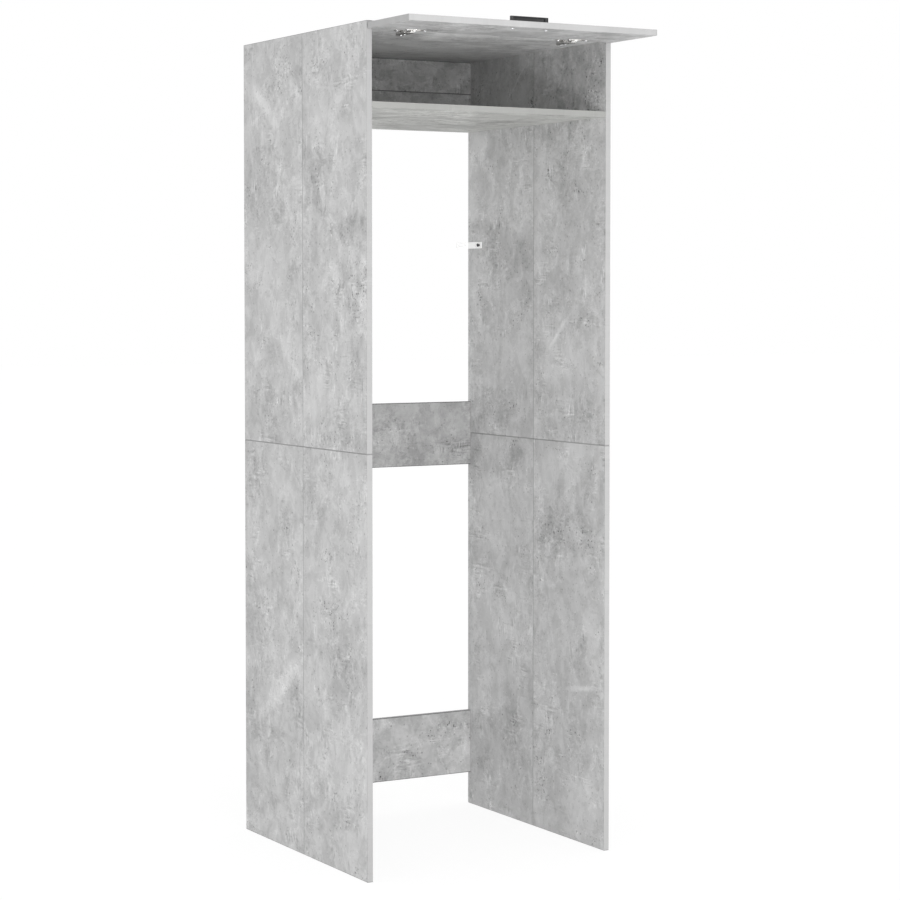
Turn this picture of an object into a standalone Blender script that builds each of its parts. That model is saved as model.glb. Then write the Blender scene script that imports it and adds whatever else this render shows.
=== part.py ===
"""Tall open-backed cabinet that stands over a washing machine and a dryer.

Two side walls of four boards each carry a shelf, a top panel and two rear rails. Above the shelf
is a shallow compartment whose front is a lift-up flap on two concealed cup hinges. Each hinge is
a single-pivot one: a gooseneck arm under the top panel reaches into the cup and turns there on a
cross pin, so the flap swings about one line, from hanging shut to standing straight out.

All lengths are metres. Cabinet coordinates: X to the right seen from the front, Y from the front
edges of the side walls (0) to the rear, Z up from the floor. The frame empty then centres the
whole footprint, with the flap open, on the origin.
"""
import math

import bmesh
import bpy
from mathutils import Matrix, Vector

# Carcass
cabinet_width = 0.710
cabinet_depth = 0.700
cabinet_height = 2.110
board_thickness = 0.015
lower_board_height = 1.055
front_board_depth = 0.350
compartment_height = 0.180
lower_back_board_height = 0.090
rail_height = 0.177
lower_rail_lift = 0.090
board_edge_chamfer = 0.0005

# Clearances and small allowances shared by all pieces
fit_gap = 0.0003
cut_overrun = 0.002
weld_distance = 0.00001

# Glued dowels of the cross boards, and loose dowels of the side wall seams
dowel_radius = 0.004
dowel_length = 0.030
dowel_end_room = 0.001
dowel_chamfer = 0.0006
peg_reach = 0.0095
panel_peg_inset = 0.060
rail_peg_inset = 0.030
back_peg_inset = 0.022
height_seam_dowel_inset = 0.090
depth_seam_dowel_inset = 0.250
dowel_sides = 12

# Flap and its place when open and when shut
flap_height = 0.205
flap_side_reveal = 0.001
flap_open_gap = 0.004
flap_open_drop = 0.005
flap_shut_gap = 0.003
flap_shut_drop = 0.005

# Handle: a slim shell pull, hollow towards the free edge of the flap
handle_depth = 0.008
handle_stand = 0.015
handle_wall = 0.002
handle_corner_radius = 0.0012
handle_screw_spacing = 0.096
handle_end_reach = 0.005
handle_screw_inset = 0.034
handle_post_radius = 0.0038
handle_screw_grip = 0.008
handle_screw_shank = 0.0019
handle_screw_head = 0.0040
handle_screw_head_height = 0.0024
handle_thread_room = 0.001

# Cup hinges
hinge_end_inset = 0.120
cup_bore_radius = 0.0175
cup_bore_depth = 0.0125
cup_edge_distance = 0.003
cup_wall = 0.0008
cup_flange_thickness = 0.0012
cup_flange_rim = 0.0010
cup_ear_radius = 0.0055
cup_screw_spacing = 0.048
cup_screw_setback = 0.006
cup_lug_gap = 0.0005
cup_lug_reach = 0.0032
hinge_pin_radius = 0.0010
hinge_pin_length = 0.0165
arm_eye_radius = 0.0021
arm_tip_width = 0.0070
arm_width = 0.0140
arm_metal = 0.0016
arm_web_drop = 0.0108
arm_bend_radius = 0.0040
arm_channel_start = 0.003
arm_channel_taper = 0.007
arm_shoulder_reach = 0.001
arm_floor_relief = 0.0001
arm_end = 0.060
plate_centre = 0.037
plate_thickness = 0.0017
plate_wing_width = 0.016
plate_block_end_room = 0.003
plate_screw_spacing = 0.032
arm_screw_spacing = 0.020
arm_screw_shank = 0.0020
arm_screw_head = 0.0032
arm_screw_head_height = 0.0014
arm_screw_length = 0.0070
wood_screw_shank = 0.0016
wood_screw_head = 0.0036
wood_screw_head_height = 0.0018
wood_screw_length = 0.0100
wood_screw_room = 0.001
screw_point = 0.0020
screw_crown_share = 0.62
cup_sides = 32
flange_sides = 40
arm_bend_steps = 5
screw_sides = 12

# Wall brackets
bracket_height = 0.018
bracket_metal = 0.002
bracket_board_leg = 0.076
bracket_wall_leg = 0.038
bracket_drop = 0.317
bracket_slot_length = 0.022
bracket_slot_width = 0.006
bracket_slot_inset = 0.007
bracket_screw_head = 0.0048
bracket_screw_head_height = 0.0022
bracket_screw_shank = 0.0020
bracket_screw_length = 0.0120

# Worked out once from the sizes above
half_width = cabinet_width / 2
inner_half = half_width - board_thickness
side_centre = half_width - board_thickness / 2
top_underside = cabinet_height - board_thickness
shelf_top = top_underside - compartment_height
shelf_underside = shelf_top - board_thickness
rail_front = cabinet_depth - board_thickness
bracket_lift = shelf_underside - bracket_drop
flap_edge_y = -flap_open_gap
flap_underside = cabinet_height - flap_open_drop - board_thickness
flap_upper_side = cabinet_height - flap_open_drop
flap_reach = flap_open_gap + flap_height
flap_half = half_width - flap_side_reveal
front_plane = (flap_reach - cabinet_depth) / 2
pivot_setback = (flap_open_drop + board_thickness - flap_shut_drop - flap_open_gap + flap_shut_gap) / 2
pivot_depth = pivot_setback + flap_open_gap - flap_shut_gap
pivot = Vector((0, flap_edge_y - pivot_setback, flap_underside + pivot_depth))
cup_y = flap_edge_y - cup_edge_distance - cup_bore_radius
hinge_x = flap_half - hinge_end_inset
arm_web = top_underside - arm_web_drop
arm_floor = arm_web + arm_metal / 2 - arm_floor_relief

# Turns that lay a flat outline upright in Y and Z, and a slot against each leg of a bracket
lay_upright = Matrix(((0, 0, 1, 0), (1, 0, 0, 0), (0, 1, 0, 0), (0, 0, 0, 1)))
slot_along_depth = Matrix(((0, 0, 1), (1, 0, 0), (0, 1, 0))).to_euler()
slot_along_width = Matrix(((1, 0, 0), (0, 0, 1), (0, -1, 0))).to_euler()


def clear_scene():
    for thing in list(bpy.data.objects):
        bpy.data.objects.remove(thing)


def new_collection(name):
    group = bpy.data.collections.new(name)
    bpy.context.scene.collection.children.link(group)
    return group


def finish(name, color, roughness, metallic=0.0):
    """A plain surface finish: colour is linear red, green and blue."""
    material = bpy.data.materials.new(name)
    material.use_nodes = True
    shader = material.node_tree.nodes["Principled BSDF"]
    shader.inputs["Base Color"].default_value = (*color, 1)
    shader.inputs["Roughness"].default_value = roughness
    shader.inputs["Metallic"].default_value = metallic
    material.diffuse_color = (*color, 1)
    return material


def new_empty(name, place, parent=None):
    empty = bpy.data.objects.new(name, None)
    cabinet.objects.link(empty)
    empty.location = place
    empty.parent = parent
    return empty


def add(name, mesh, place, home, material=None):
    """Put a mesh in the cabinet, on the frame or on the flap's axis."""
    piece = bpy.data.objects.new(name, mesh)
    piece.location = place
    piece.parent = home
    if home is flap_axis:
        piece.matrix_parent_inverse = Matrix.Translation(-pivot)
    if material is None:
        piece.hide_render = True
        piece.display_type = "WIRE"
        cutters.objects.link(piece)
    else:
        mesh.materials.append(material)
        cabinet.objects.link(piece)
    return piece


def box_mesh(name, size):
    shape = bmesh.new()
    bmesh.ops.create_cube(shape, size=1)
    bmesh.ops.scale(shape, vec=size, verts=shape.verts)
    mesh = bpy.data.meshes.new(name)
    shape.to_mesh(mesh)
    shape.free()
    return mesh


def block(name, low, high, home, material=None):
    """A box between two corners, placed by its centre."""
    low, high = Vector(low), Vector(high)
    return add(name, box_mesh(name, high - low), (low + high) / 2, home, material)


def turn_to(direction):
    """The rotation that takes +Z to a direction."""
    return Vector((0, 0, 1)).rotation_difference(Vector(direction)).to_matrix().to_4x4()


def rods_mesh(name, spots, direction, radius, length, sides):
    """Equal cylinders centred on the spots, all along one direction, turned by half a side."""
    shape = bmesh.new()
    half_side = Matrix.Rotation(math.pi / sides, 4, "Z")
    for spot in spots:
        bmesh.ops.create_cone(
            shape, cap_ends=True, segments=sides, radius1=radius, radius2=radius, depth=length,
            matrix=Matrix.Translation(spot) @ turn_to(direction) @ half_side)
    mesh = bpy.data.meshes.new(name)
    shape.to_mesh(mesh)
    shape.free()
    return mesh


def rods(name, spots, direction, radius, length, sides, home, material=None):
    return add(name, rods_mesh(name, spots, direction, radius, length, sides), (0, 0, 0), home, material)


def outline_mesh(name, points, thickness, upright):
    """A flat outline with thickness: in X and Y, or upright in Y and Z with its thickness along X."""
    curve = bpy.data.curves.new(name, "CURVE")
    curve.dimensions = "2D"
    curve.fill_mode = "BOTH"
    curve.extrude = thickness / 2
    line = curve.splines.new("POLY")
    line.points.add(len(points) - 1)
    for point, (across, along) in zip(line.points, points):
        point.co = (across, along, 0, 1)
    line.use_cyclic_u = True
    guide = bpy.data.objects.new(name, curve)
    cutters.objects.link(guide)
    bpy.context.view_layer.update()
    solid = guide.evaluated_get(bpy.context.evaluated_depsgraph_get())
    mesh = bpy.data.meshes.new_from_object(solid)
    bpy.data.objects.remove(guide)
    shape = bmesh.new()
    shape.from_mesh(mesh)
    bmesh.ops.remove_doubles(shape, verts=shape.verts, dist=weld_distance)
    if upright:
        bmesh.ops.transform(shape, matrix=lay_upright, verts=shape.verts)
    shape.to_mesh(mesh)
    shape.free()
    return mesh


def change(piece, tool, operation="DIFFERENCE"):
    step = piece.modifiers.new(tool.name, "BOOLEAN")
    step.operation = operation
    step.object = tool
    step.solver = "EXACT"


def soften(piece, width, steps=1):
    edges = piece.modifiers.new("edges", "BEVEL")
    edges.width = width
    edges.segments = steps
    edges.limit_method = "ANGLE"
    edges.angle_limit = math.radians(50)


def round_shading():
    """A node group that shades faces smooth and keeps the edges sharper than 40 degrees."""
    group = bpy.data.node_groups.new("round_shading", "GeometryNodeTree")
    group.interface.new_socket("Geometry", in_out="INPUT", socket_type="NodeSocketGeometry")
    group.interface.new_socket("Geometry", in_out="OUTPUT", socket_type="NodeSocketGeometry")
    start, end = group.nodes.new("NodeGroupInput"), group.nodes.new("NodeGroupOutput")
    faces, edges = (group.nodes.new("GeometryNodeSetShadeSmooth") for _ in range(2))
    edges.domain = "EDGE"
    edges.inputs["Shade Smooth"].default_value = False
    angle = group.nodes.new("GeometryNodeInputMeshEdgeAngle")
    limit = group.nodes.new("FunctionNodeCompare")
    limit.inputs[1].default_value = math.radians(40)
    group.links.new(start.outputs[0], faces.inputs["Geometry"])
    group.links.new(faces.outputs[0], edges.inputs["Geometry"])
    group.links.new(angle.outputs["Unsigned Angle"], limit.inputs[0])
    group.links.new(limit.outputs[0], edges.inputs["Selection"])
    group.links.new(edges.outputs[0], end.inputs[0])
    return group


def turned(name, profile, place, direction, home, material, sides):
    """A solid of revolution. The profile is (radius, height) points, outer side top to bottom."""
    mesh = bpy.data.meshes.new(name)
    points = [(radius, 0, height) for radius, height in profile]
    mesh.from_pydata(points, [(i, i + 1) for i in range(len(points) - 1)], [])
    piece = add(name, mesh, place, home, material)
    piece.rotation_euler = turn_to(direction).to_euler()
    lathe = piece.modifiers.new("turn", "SCREW")
    lathe.steps = sides
    lathe.render_steps = sides
    lathe.use_merge_vertices = True
    lathe.merge_threshold = weld_distance
    return piece


def screw(name, seat, direction, shank, head, head_height, length, home, material):
    """A pan-head screw. The seat is the centre of the underside of its head, and the direction
    points the way the head faces."""
    profile = [
        (0, head_height),
        (head * screw_crown_share, head_height),
        (head, head_height / 2),
        (head, 0),
        (shank, 0),
        (shank, screw_point - length),
        (0, -length),
    ]
    return turned(name, profile, seat, direction, home, material, screw_sides)


def board(name, low, high, home=None):
    """A board between two corners, with lightly broken edges."""
    piece = block(name, low, high, home or frame, laminate)
    soften(piece, board_edge_chamfer)
    return piece


def cross_board(name, low, high, peg_spots):
    """A board between the side walls, with glued dowels standing out of both ends."""
    half = inner_half - fit_gap
    piece = board(name, (-half, *low), (half, *high))
    spots = [(side * half, y, z) for side in (-1, 1) for y, z in peg_spots]
    pegs = rods(name + "_pegs", spots, (1, 0, 0), dowel_radius, peg_reach * 2, dowel_sides, frame)
    change(piece, pegs, "UNION")
    return piece


def panel_peg_spots(height):
    """Where the shelf and the top panel are doweled: twice into each board of a side wall."""
    front_pair = (panel_peg_inset, front_board_depth - panel_peg_inset)
    rear_pair = (front_board_depth + panel_peg_inset, cabinet_depth - panel_peg_inset)
    return [(y, height) for y in front_pair + rear_pair]


def rear_peg_spots(low, high, inset):
    """Where a board in the rear plane is doweled: near its lower and its upper edge."""
    middle = rail_front + board_thickness / 2
    return [(middle, low + inset), (middle, high - inset)]


def make_cross_boards():
    """Shelf, top panel, the compartment's back and the two rails. Returns every peg spot."""
    shelf_pegs = panel_peg_spots(shelf_underside + board_thickness / 2)
    cross_board("shelf", (0, shelf_underside), (cabinet_depth, shelf_top), shelf_pegs)
    top_pegs = panel_peg_spots(top_underside + board_thickness / 2)
    cross_board("top_panel", (0, top_underside), (cabinet_depth, cabinet_height), top_pegs)
    pegs = shelf_pegs + top_pegs

    back_seam = shelf_top + lower_back_board_height
    middle_rail_low = lower_board_height - rail_height / 2
    rear_boards = (
        ("compartment_back_lower", shelf_top + fit_gap, back_seam - fit_gap / 2, back_peg_inset),
        ("compartment_back_upper", back_seam + fit_gap / 2, top_underside - fit_gap, back_peg_inset),
        ("middle_rail", middle_rail_low, middle_rail_low + rail_height, rail_peg_inset),
        ("lower_rail", lower_rail_lift, lower_rail_lift + rail_height, rail_peg_inset),
    )
    for name, low, high, inset in rear_boards:
        spots = rear_peg_spots(low, high, inset)
        cross_board(name, (rail_front, low), (cabinet_depth, high), spots)
        pegs += spots
    return pegs


def seam_dowel_spots():
    """Centres of the dowels across the level seam and across the upright seam of a side wall."""
    inset = height_seam_dowel_inset
    depths = (inset, front_board_depth - inset, front_board_depth + inset, cabinet_depth - inset)
    across_level = [(y, lower_board_height) for y in depths]
    inset = depth_seam_dowel_inset
    heights = (inset, lower_board_height - inset, lower_board_height + inset, cabinet_height - inset)
    across_upright = [(front_board_depth, z) for z in heights]
    return across_level, across_upright


def make_side_wall(side, sign, peg_spots):
    """Four boards around a cross-shaped seam, the holes for all dowels, and the seam dowels."""
    inner, outer = sign * inner_half, sign * half_width
    low_x, high_x = min(inner, outer), max(inner, outer)
    centre = sign * side_centre
    hole_radius = dowel_radius + fit_gap

    depth = peg_reach + dowel_end_room
    spots = [(inner + sign * (depth - cut_overrun) / 2, y, z) for y, z in peg_spots]
    peg_holes = rods(
        side + "_peg_holes", spots, (1, 0, 0), hole_radius, depth + cut_overrun, dowel_sides, frame)

    across_level, across_upright = seam_dowel_spots()
    length = dowel_length + 2 * dowel_end_room
    level_holes = rods(
        side + "_level_seam_holes", [(centre, y, z) for y, z in across_level], (0, 0, 1),
        hole_radius, length, dowel_sides, frame)
    upright_holes = rods(
        side + "_upright_seam_holes", [(centre, y, z) for y, z in across_upright], (0, 1, 0),
        hole_radius, length, dowel_sides, frame)

    half_gap = fit_gap / 2
    heights = {
        "lower": (0, lower_board_height - half_gap),
        "upper": (lower_board_height + half_gap, cabinet_height),
    }
    depths = {
        "front": (0, front_board_depth - half_gap),
        "rear": (front_board_depth + half_gap, cabinet_depth),
    }
    boards = {}
    for level, (low_z, high_z) in heights.items():
        for place, (low_y, high_y) in depths.items():
            name = f"{side}_{level}_{place}_board"
            piece = board(name, (low_x, low_y, low_z), (high_x, high_y, high_z))
            for holes in (peg_holes, level_holes, upright_holes):
                change(piece, holes)
            boards[level, place] = piece

    for number, (y, z) in enumerate(across_level, 1):
        make_dowel(f"{side}_level_seam_dowel_{number}", (centre, y, z), (0, 0, 1))
    for number, (y, z) in enumerate(across_upright, 1):
        make_dowel(f"{side}_upright_seam_dowel_{number}", (centre, y, z), (0, 1, 0))
    return boards


def make_dowel(name, centre, direction):
    half = dowel_length / 2
    end = dowel_radius - dowel_chamfer
    profile = [
        (0, half),
        (end, half),
        (dowel_radius, half - dowel_chamfer),
        (dowel_radius, dowel_chamfer - half),
        (end, -half),
        (0, -half),
    ]
    turned(name, profile, centre, direction, frame, beech, dowel_sides)


def make_flap():
    low = (-flap_half, flap_edge_y - flap_height, flap_underside)
    high = (flap_half, flap_edge_y, flap_upper_side)
    return board("flap", low, high, flap_axis)


def make_handle(flap):
    """A shell pull screwed on from inside the flap. Two posts in its hollow take the screws."""
    screw_y = flap_edge_y - flap_height + handle_screw_inset
    front, rear = screw_y - handle_depth / 2, screw_y + handle_depth / 2
    seat = flap_upper_side + fit_gap
    half = handle_screw_spacing / 2 + handle_end_reach
    spots = [(side * handle_screw_spacing / 2, screw_y, 0) for side in (-1, 1)]

    handle = block("handle", (-half, front, seat), (half, rear, seat + handle_stand), flap_axis, black_metal)
    soften(handle, handle_corner_radius, 2)
    hollow = block(
        "handle_hollow", (handle_wall - half, front - cut_overrun, seat + handle_wall),
        (half - handle_wall, rear - handle_wall, seat + handle_stand - handle_wall), flap_axis)
    posts = rods(
        "handle_posts", [Vector(spot) + Vector((0, 0, seat)) for spot in spots], (0, 0, 1),
        handle_post_radius, 2 * (handle_stand + cut_overrun), screw_sides, flap_axis)
    change(hollow, posts)
    change(handle, hollow)

    hole_radius = handle_screw_shank + fit_gap
    hole_top = seat + handle_screw_grip + handle_thread_room
    hole_low = flap_underside - cut_overrun
    holes = rods(
        "handle_screw_holes", [Vector(spot) + Vector((0, 0, (hole_low + hole_top) / 2)) for spot in spots],
        (0, 0, 1), hole_radius, hole_top - hole_low, screw_sides, flap_axis)
    change(handle, holes)
    change(flap, holes)
    length = seat + handle_screw_grip - flap_underside + fit_gap
    for side, spot in zip(("left", "right"), spots):
        head_seat = Vector(spot) + Vector((0, 0, flap_underside - fit_gap))
        screw(
            side + "_handle_screw", head_seat, (0, 0, -1), handle_screw_shank, handle_screw_head,
            handle_screw_head_height, length, flap_axis, zinc)


def hull_of_circles(circles, steps):
    """Outline of the tightest band round some circles, each (x, y, radius)."""
    points = []
    for step in range(steps):
        angle = 2 * math.pi * step / steps
        across, along = math.cos(angle), math.sin(angle)
        x, y, radius = max(circles, key=lambda c: c[0] * across + c[1] * along + c[2])
        points.append((x + radius * across, y + radius * along))
    return points


def make_cup(side, x, flap):
    """The cup and its flange, two lugs inside it for the pin, and its two screws."""
    mouth = flap_underside - fit_gap - cup_flange_thickness
    cup_top = flap_underside + cup_bore_depth - fit_gap
    outer = cup_bore_radius - fit_gap
    inner = outer - cup_wall
    inner_top = cup_top - cup_wall

    bore_low = flap_underside - cut_overrun
    bore_top = flap_underside + cup_bore_depth
    bore = rods(
        side + "_cup_bore", [(x, cup_y, (bore_low + bore_top) / 2)], (0, 0, 1), cup_bore_radius,
        bore_top - bore_low, cup_sides, flap_axis)
    change(flap, bore)

    ear_x = cup_screw_spacing / 2
    circles = [
        (0, 0, outer + cup_flange_rim),
        (-ear_x, -cup_screw_setback, cup_ear_radius),
        (ear_x, -cup_screw_setback, cup_ear_radius),
    ]
    outline = hull_of_circles(circles, flange_sides)
    mesh = outline_mesh(side + "_hinge_cup", outline, cup_flange_thickness, False)
    place = (x, cup_y, mouth + cup_flange_thickness / 2)
    cup = add(side + "_hinge_cup", mesh, place, flap_axis, nickel)
    shell_low = mouth + cup_flange_thickness / 2
    shell = rods(
        side + "_cup_shell", [(x, cup_y, (shell_low + cup_top) / 2)], (0, 0, 1), outer,
        cup_top - shell_low, cup_sides, flap_axis)
    change(cup, shell, "UNION")

    hollow_low = mouth - cut_overrun
    hollow = rods(
        side + "_cup_hollow", [(x, cup_y, (hollow_low + inner_top) / 2)], (0, 0, 1), inner,
        inner_top - hollow_low, cup_sides, flap_axis)
    lug_start = arm_tip_width / 2 + cup_lug_gap
    lug_front = pivot.y - cup_lug_reach
    lug_low = pivot.z - cup_lug_reach
    for sign in (-1, 1):
        near, far = x + sign * lug_start, x + sign * cup_bore_radius
        lug = block(
            f"{side}_cup_lug_{'left' if sign < 0 else 'right'}",
            (min(near, far), lug_front, lug_low), (max(near, far), flap_edge_y, bore_top), flap_axis)
        change(hollow, lug)
    change(cup, hollow)

    pin_hole = rods(
        side + "_pin_hole", [(x, pivot.y, pivot.z)], (1, 0, 0), hinge_pin_radius + fit_gap,
        hinge_pin_length + 2 * fit_gap, screw_sides, flap_axis)
    change(cup, pin_hole)
    half = hinge_pin_length / 2
    profile = [(0, half), (hinge_pin_radius, half), (hinge_pin_radius, -half), (0, -half)]
    turned(side + "_hinge_pin", profile, (x, pivot.y, pivot.z), (1, 0, 0), flap_axis, zinc, screw_sides)

    screw_y = cup_y - cup_screw_setback
    spots = [(x + sign * ear_x, screw_y) for sign in (-1, 1)]
    length = wood_screw_length + cup_flange_thickness
    drill = flap_underside + wood_screw_length
    holes = rods(
        side + "_cup_screw_holes", [(a, b, (hollow_low + drill) / 2) for a, b in spots], (0, 0, 1),
        wood_screw_shank + fit_gap, drill - hollow_low, screw_sides, flap_axis)
    change(cup, holes)
    change(flap, holes)
    for end, (a, b) in zip(("a", "b"), spots):
        screw(
            f"{side}_cup_screw_{end}", (a, b, mouth - fit_gap), (0, 0, -1), wood_screw_shank,
            wood_screw_head, wood_screw_head_height, length - wood_screw_room, flap_axis, zinc)


def arc(centre_y, centre_z, radius, start, end, steps):
    """Points along a circle in Y and Z, from one angle in degrees to another."""
    angles = [math.radians(start + (end - start) * step / steps) for step in range(steps + 1)]
    return [(centre_y + radius * math.cos(angle), centre_z + radius * math.sin(angle)) for angle in angles]


def arm_outline(cheek_top):
    """Side view of the arm: its eye, the neck down from it, the bend, and the channel's cheek."""
    half = arm_metal / 2
    bend_y, bend_z = pivot.y + arm_bend_radius, arm_web + arm_bend_radius
    neck = math.degrees(math.asin(half / arm_eye_radius))
    eye = arc(pivot.y, pivot.z, arm_eye_radius, neck - 90, 270 - neck, screw_sides)
    outer_bend = arc(bend_y, bend_z, arm_bend_radius + half, 180, 270, arm_bend_steps)
    inner_bend = arc(bend_y, bend_z, arm_bend_radius - half, 270, 180, arm_bend_steps)
    cheek = [
        (arm_end, arm_web - half),
        (arm_end, cheek_top),
        (arm_channel_start + arm_channel_taper, cheek_top),
        (arm_channel_start, arm_web + half),
    ]
    return eye + outer_bend + cheek + inner_bend


def make_arm(side, x):
    """One hinge arm, a bent strip with an eye at its narrow tip and a channel under the plate."""
    name = side + "_hinge_arm"
    cheek_top = top_underside - plate_thickness - 2 * fit_gap
    arm = add(name, outline_mesh(name, arm_outline(cheek_top), arm_width, True), (x, 0, 0), frame, nickel)
    inner_half_width = arm_width / 2 - arm_metal
    inside = block(
        side + "_arm_inside", (x - inner_half_width, arm_channel_start - cut_overrun, arm_floor),
        (x + inner_half_width, arm_end + cut_overrun, cheek_top + cut_overrun), frame)
    change(arm, inside)

    shoulder = arm_web + arm_bend_radius - arm_metal
    for sign in (-1, 1):
        near, far = x + sign * arm_tip_width / 2, x + sign * arm_width
        trim = block(
            f"{side}_arm_trim_{'left' if sign < 0 else 'right'}",
            (min(near, far), pivot.y - arm_width, shoulder),
            (max(near, far), -arm_shoulder_reach, pivot.z + arm_width), frame)
        change(arm, trim)
    eye_hole = rods(
        side + "_arm_eye_hole", [(x, pivot.y, pivot.z)], (1, 0, 0), hinge_pin_radius + fit_gap,
        arm_width, screw_sides, frame)
    change(arm, eye_hole)
    return arm


def make_plate(side, x, arm, top_panel):
    """The mounting plate under the top panel, its two wood screws and the two arm screws."""
    plate_top = top_underside - fit_gap
    plate_low = plate_top - plate_thickness
    web_low = arm_web - arm_metal / 2
    ear_x = plate_screw_spacing / 2
    ear = plate_wing_width / 2
    outline = hull_of_circles([(-ear_x, 0, ear), (ear_x, 0, ear)], cup_sides)
    mesh = outline_mesh(side + "_hinge_plate", outline, plate_thickness, False)
    plate = add(side + "_hinge_plate", mesh, (x, plate_centre, (plate_top + plate_low) / 2), frame, nickel)
    block_half = arm_width / 2 - arm_metal - fit_gap
    front = arm_channel_start + arm_channel_taper
    rider = block(
        side + "_plate_block", (x - block_half, front, arm_floor + fit_gap),
        (x + block_half, arm_end - plate_block_end_room, (plate_low + plate_top) / 2), frame)

    spots = [(x + sign * ear_x, plate_centre) for sign in (-1, 1)]
    hole_low, hole_top = plate_low - cut_overrun, top_underside + wood_screw_length
    holes = rods(
        side + "_plate_screw_holes", [(a, b, (hole_low + hole_top) / 2) for a, b in spots], (0, 0, 1),
        wood_screw_shank + fit_gap, hole_top - hole_low, screw_sides, frame)
    change(plate, holes)
    change(top_panel, holes)
    for end, (a, b) in zip(("a", "b"), spots):
        screw(
            f"{side}_plate_screw_{end}", (a, b, plate_low - fit_gap), (0, 0, -1), wood_screw_shank,
            wood_screw_head, wood_screw_head_height,
            wood_screw_length + plate_thickness - wood_screw_room, frame, zinc)

    spots = [(x, plate_centre + sign * arm_screw_spacing / 2) for sign in (-1, 1)]
    hole_low, hole_top = web_low - cut_overrun, web_low + arm_screw_length
    holes = rods(
        side + "_arm_screw_holes", [(a, b, (hole_low + hole_top) / 2) for a, b in spots], (0, 0, 1),
        arm_screw_shank + fit_gap, hole_top - hole_low, screw_sides, frame)
    change(arm, holes)
    change(rider, holes)
    change(plate, rider, "UNION")
    for end, (a, b) in zip(("front", "rear"), spots):
        screw(
            f"{side}_arm_screw_{end}", (a, b, web_low - fit_gap), (0, 0, -1), arm_screw_shank,
            arm_screw_head, arm_screw_head_height, arm_screw_length - wood_screw_room, frame, zinc)


def stadium(centre_x, centre_y, length, width, steps):
    """Outline of a slot with round ends, along X."""
    reach = (length - width) / 2
    circles = [(centre_x - reach, centre_y, width / 2), (centre_x + reach, centre_y, width / 2)]
    return hull_of_circles(circles, steps)


def make_bracket(side, sign, rear_board):
    """An angle bracket: one leg screwed inside the side wall, the other flat to the room's wall."""
    face = sign * (inner_half - fit_gap)
    rear = cabinet_depth
    metal = bracket_metal
    corner = Vector((face, rear, 0))
    outline = [
        (corner.x, corner.y),
        (corner.x, corner.y - bracket_board_leg),
        (corner.x - sign * metal, corner.y - bracket_board_leg),
        (corner.x - sign * metal, corner.y - metal),
        (corner.x - sign * bracket_wall_leg, corner.y - metal),
        (corner.x - sign * bracket_wall_leg, corner.y),
    ]
    name = side + "_wall_bracket"
    mesh = outline_mesh(name, outline, bracket_height, False)
    bracket = add(name, mesh, (0, 0, bracket_lift), frame, white_metal)

    half_slot = bracket_slot_length / 2
    slot_y = rear - bracket_board_leg + bracket_slot_inset + half_slot
    slot = outline_mesh(
        name + "_board_slot", stadium(0, 0, bracket_slot_length, bracket_slot_width, screw_sides * 2),
        metal + 2 * cut_overrun, False)
    board_slot = add(name + "_board_slot", slot, (face - sign * metal / 2, slot_y, bracket_lift), frame)
    board_slot.rotation_euler = slot_along_depth
    change(bracket, board_slot)
    slot_x = face - sign * (bracket_wall_leg - bracket_slot_inset - half_slot)
    wall_slot = add(name + "_wall_slot", slot, (slot_x, rear - metal / 2, bracket_lift), frame)
    wall_slot.rotation_euler = slot_along_width
    change(bracket, wall_slot)

    seat = Vector((face - sign * (metal + fit_gap), slot_y, bracket_lift))
    hole_end = sign * inner_half + sign * bracket_screw_length
    hole_start = sign * (inner_half - cut_overrun)
    hole = rods(
        side + "_bracket_screw_hole", [((hole_start + hole_end) / 2, slot_y, bracket_lift)], (1, 0, 0),
        bracket_screw_shank + fit_gap, abs(hole_end - hole_start), screw_sides, frame)
    change(rear_board, hole)
    screw(
        side + "_bracket_screw", seat, (-sign, 0, 0), bracket_screw_shank, bracket_screw_head,
        bracket_screw_head_height, bracket_screw_length + metal - wood_screw_room, frame, black_metal)


clear_scene()
cabinet = new_collection("washing_machine_cabinet")
cutters = new_collection("cutters")
laminate = finish("grey_concrete_laminate", (0.47, 0.47, 0.465), 0.62)
black_metal = finish("black_coated_metal", (0.018, 0.018, 0.018), 0.45, 0.3)
nickel = finish("nickel_plated_steel", (0.62, 0.61, 0.59), 0.28, 1.0)
zinc = finish("zinc_plated_steel", (0.60, 0.61, 0.63), 0.35, 1.0)
white_metal = finish("white_coated_metal", (0.85, 0.85, 0.84), 0.4)
beech = finish("beech", (0.62, 0.42, 0.25), 0.7)

frame = new_empty("cabinet_frame", (0, front_plane, 0))
flap_axis = new_empty("flap_axis", pivot, frame)

all_pegs = make_cross_boards()
side_walls = {side: make_side_wall(side, sign, all_pegs) for side, sign in (("left", -1), ("right", 1))}
flap_board = make_flap()
make_handle(flap_board)
for side, sign in (("left", -1), ("right", 1)):
    make_cup(side, sign * hinge_x, flap_board)
    hinge_arm = make_arm(side, sign * hinge_x)
    make_plate(side, sign * hinge_x, hinge_arm, bpy.data.objects["top_panel"])
    make_bracket(side, sign, side_walls[side]["upper", "rear"])

rounded = round_shading()
for piece in cabinet.objects:
    if piece.type == "MESH":
        piece.modifiers.new("shading", "NODES").node_group = rounded
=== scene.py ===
# %% [markdown]
# # Washing machine cabinet
# A tall cabinet of concrete-print board stands round a washing machine with a dryer on it. It has
# no back and no floor. At the top is a shallow compartment, closed by a lift-up flap on two
# concealed hinges. The boards, hinges and screws were first made as exact solids. This notebook
# loads them as a fixed frame, gives every board its print, and makes the metal parts again with
# the fine forms that the solids leave out.

# %% Load the frame
import math

import bmesh
import bpy
from mathutils import Matrix, Vector


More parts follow.
